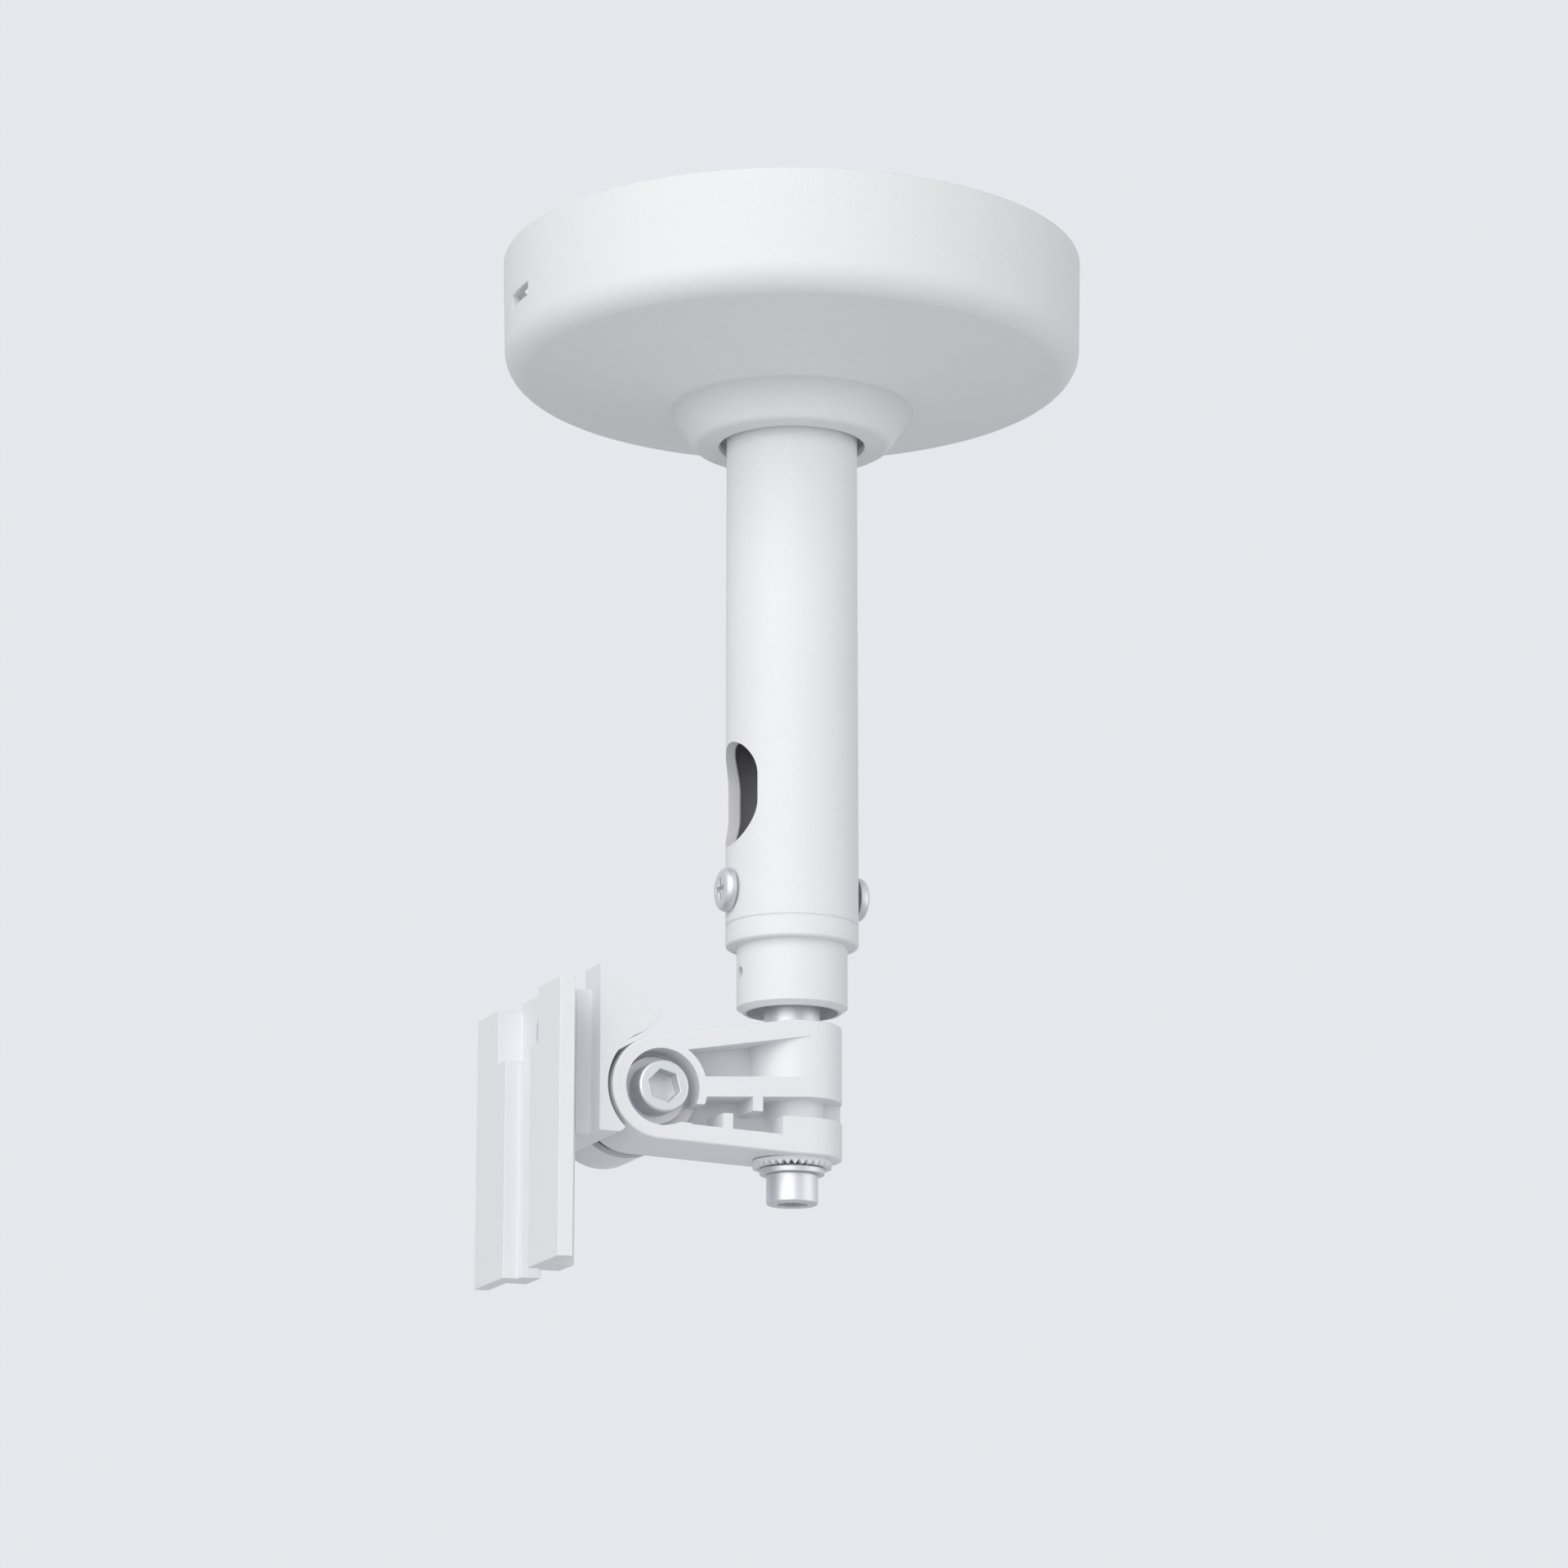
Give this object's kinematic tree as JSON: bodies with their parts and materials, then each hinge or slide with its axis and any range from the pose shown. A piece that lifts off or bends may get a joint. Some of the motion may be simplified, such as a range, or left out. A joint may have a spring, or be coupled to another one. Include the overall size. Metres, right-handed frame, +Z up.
{
  "type": "speaker ceiling mount",
  "caption": "White pendant speaker mount: ceiling canopy, straight tube with a cable slot, swivel arm with ribs, and a tilting plate with an upright channel.",
  "frame": {"origin": "centre of the ceiling face of the flange", "axes": "+Z up into the ceiling, the arm points along -X, the tilt bolt's head faces -Y"},
  "size_m": [0.15, 0.15, 0.2651],
  "materials": {
    "grained_white": "fine-grained white",
    "coated_tube": "fine-grained white powder coat",
    "cast_white": "smooth white coat on die-cast metal",
    "plated_steel": "bright plated",
    "zinc_steel": "dull zinc plated",
    "dark_steel": "black oxide",
    "friction_pad": "dull"
  },
  "bodies": {
    "stem": {"ceiling_flange": "zinc_steel", "canopy_clips": "plated_steel", "clip_rivets": "zinc_steel", "pendant_tube": "coated_tube", "tube_lock_screws": "dark_steel", "tube_plug": "coated_tube", "plug_screws": "plated_steel", "swivel_pin": "plated_steel", "pin_lock_screw": "dark_steel", "swivel_bolt": "plated_steel", "swivel_washer": "plated_steel"},
    "canopy": {"canopy": "grained_white"},
    "arm": {"swivel_arm": "cast_white", "tilt_washer": "plated_steel", "thrust_washer": "plated_steel"},
    "bracket": {"tilt_bracket": "cast_white", "speaker_plate": "cast_white", "plate_screws": "plated_steel", "tilt_bolt": "plated_steel", "tilt_nut": "plated_steel", "friction_disc": "friction_pad"}
  },
  "joints": [
    {"name": "canopy_slide", "type": "slide", "parent": "stem", "child": "canopy", "axis": [0, 0, -1], "range_m": [0, 0.108]},
    {"name": "swivel", "type": "hinge", "parent": "stem", "child": "arm", "pos_m": [0, 0, -0.2015], "axis": [0, 0, 1], "continuous": true},
    {"name": "tilt", "type": "hinge", "parent": "arm", "child": "bracket", "pos_m": [-0.0389, 0, -0.2208], "axis": [0, 1, 0], "range_deg": [-60, 10]}
  ]
}
